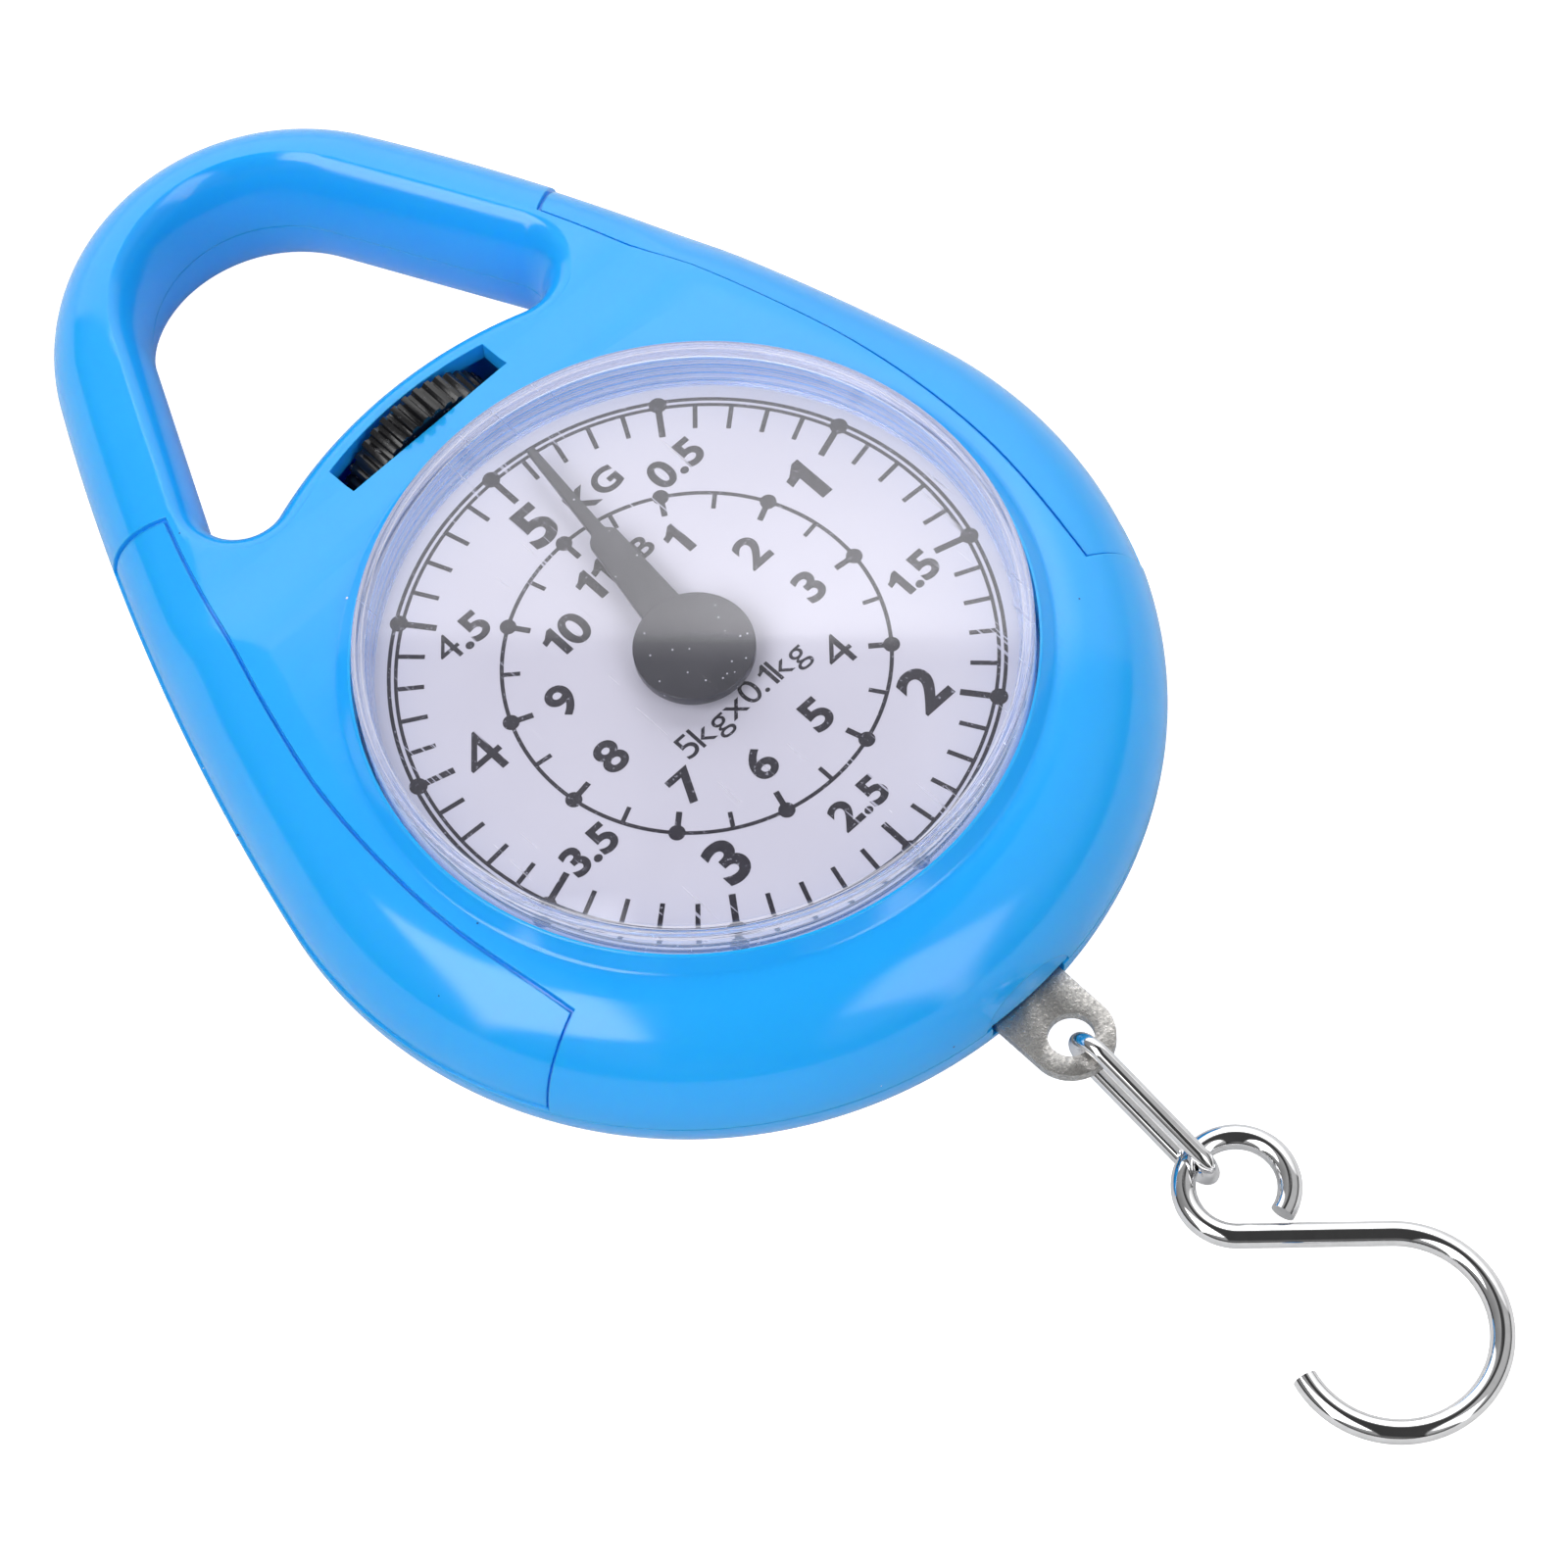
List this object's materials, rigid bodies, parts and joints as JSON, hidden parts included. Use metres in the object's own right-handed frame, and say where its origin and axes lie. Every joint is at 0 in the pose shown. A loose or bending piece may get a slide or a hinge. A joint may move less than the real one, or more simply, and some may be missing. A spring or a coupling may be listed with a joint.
{
  "type": "hanging spring scale",
  "caption": "Pocket hanging scale with a carrying handle, a round dial under a clear lens, a rack-and-pinion spring movement, a zero wheel, and a link and hook for the load.",
  "frame": {"origin": "on the pointer's axis, at the flat back face of the rear shell", "axes": "+Z out of the dial, +Y towards the carrying handle, -Y towards the hook"},
  "size_m": [0.0762, 0.157, 0.0205],
  "materials": {
    "shell_blue": "glossy moulded plastic",
    "lens_clear": "clear polished acrylic",
    "dial_white": "pale printed dial",
    "pointer_grey": "satin grey",
    "wheel_black": "ridged black plastic",
    "bar_steel": "tumbled stamped steel",
    "spring_steel": "drawn spring wire",
    "wire_chrome": "bright plated wire",
    "brass": "turned brass",
    "screw_steel": "zinc-plated steel"
  },
  "bodies": {
    "case": {"front_shell": "shell_blue", "rear_shell": "shell_blue", "case_screw_1": "screw_steel", "case_screw_2": "screw_steel", "case_screw_3": "screw_steel", "case_screw_4": "screw_steel", "lens": "lens_clear", "dial_plate": "dial_white", "movement_plate": "brass", "movement_screw_left": "screw_steel", "movement_screw_right": "screw_steel", "front_bush": "brass", "rear_bush": "brass", "guide_pin": "brass", "thrust_washer": "bar_steel", "spring_left": "spring_steel", "spring_right": "spring_steel"},
    "load_bar": {"load_bar": "bar_steel"},
    "pointer": {"pointer": "pointer_grey", "pinion_arbor": "brass"},
    "zero_wheel": {"zero_wheel": "wheel_black"},
    "crosshead": {"crosshead": "brass", "zero_screw": "screw_steel"},
    "link": {"link": "wire_chrome"},
    "hook": {"hook": "wire_chrome"}
  },
  "joints": [
    {"name": "load_slide", "type": "slide", "parent": "case", "child": "load_bar", "axis": [0, -1, 0], "range_m": [0, 0.01005], "stiffness_N_per_m": 4880, "deforming": ["spring_left", "spring_right"]},
    {"name": "pointer_turn", "type": "hinge", "parent": "case", "child": "pointer", "pos_m": [0, 0, 0.0105], "axis": [0, 0, 1], "range_deg": [-361, 1]},
    {"name": "zero_wheel_turn", "type": "hinge", "parent": "case", "child": "zero_wheel", "pos_m": [0, 0.03385, 0.0082], "axis": [0, 1, 0], "range_deg": [-900, 900]},
    {"name": "zero_slide", "type": "slide", "parent": "case", "child": "crosshead", "axis": [0, 1, 0], "range_m": [-0.00125, 0.00125], "deforming": ["spring_left", "spring_right"]},
    {"name": "link_swing", "type": "hinge", "parent": "load_bar", "child": "link", "pos_m": [0, -0.04495, 0.0067], "axis": [0.999, 0.0445, 0], "range_deg": [-96, 53]},
    {"name": "hook_swing", "type": "hinge", "parent": "link", "child": "hook", "pos_m": [0.00045, -0.05505, 0.00275], "axis": [0.999, 0.0445, 0], "range_deg": [-62, 98]}
  ],
  "couplings": [
    {"joint": "pointer_turn", "follows": "load_slide", "rad_per_m": -625},
    {"joint": "zero_wheel_turn", "follows": "zero_slide", "rad_per_m": -12566}
  ]
}
